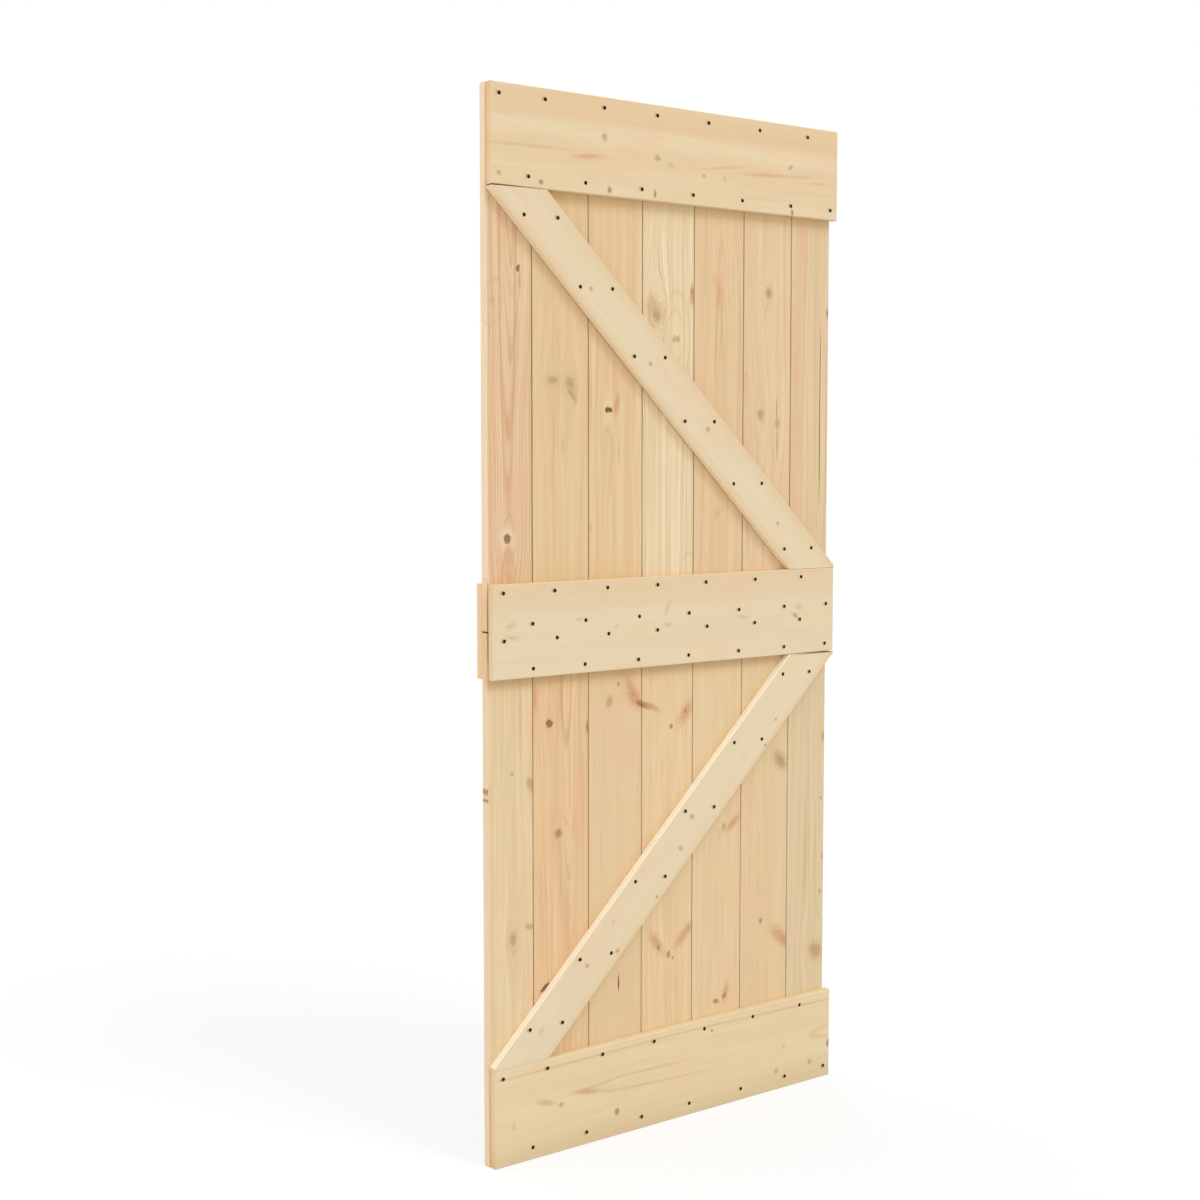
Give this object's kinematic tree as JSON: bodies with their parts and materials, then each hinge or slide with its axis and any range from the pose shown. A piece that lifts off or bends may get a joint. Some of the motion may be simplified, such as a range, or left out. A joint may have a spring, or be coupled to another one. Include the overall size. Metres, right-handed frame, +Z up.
{
  "type": "barn door",
  "caption": "Ledged and braced pine barn door leaf: upright tongued boards behind face rails and mitred braces that make a K, held by sunk nails. Hung by its top rail.",
  "frame": {"origin": "middle of the leaf's box at its foot", "axes": "+X along the rails, to the right as seen from the face; +Y from the face to the back; +Z up"},
  "size_m": [0.9, 0.054, 2.1],
  "materials": {
    "pine_board": "planed, unfinished",
    "pine_rail": "planed, unfinished",
    "pine_brace": "planed, unfinished",
    "nail_steel": "dark, dull"
  },
  "bodies": {
    "root": {"upper_board_1": "pine_board", "upper_board_2": "pine_board", "upper_board_3": "pine_board", "upper_board_4": "pine_board", "upper_board_5": "pine_board", "upper_board_6": "pine_board", "upper_board_7": "pine_board", "lower_board_1": "pine_board", "lower_board_2": "pine_board", "lower_board_3": "pine_board", "lower_board_4": "pine_board", "lower_board_5": "pine_board", "lower_board_6": "pine_board", "lower_board_7": "pine_board", "top_rail": "pine_rail", "mid_rail_front": "pine_rail", "mid_rail_back": "pine_rail", "bottom_rail": "pine_rail", "upper_brace": "pine_brace", "lower_brace": "pine_brace", "top_rail_nails": "nail_steel", "mid_rail_nails": "nail_steel", "bottom_rail_nails": "nail_steel", "upper_brace_nails": "nail_steel", "lower_brace_nails": "nail_steel"}
  },
  "joints": []
}
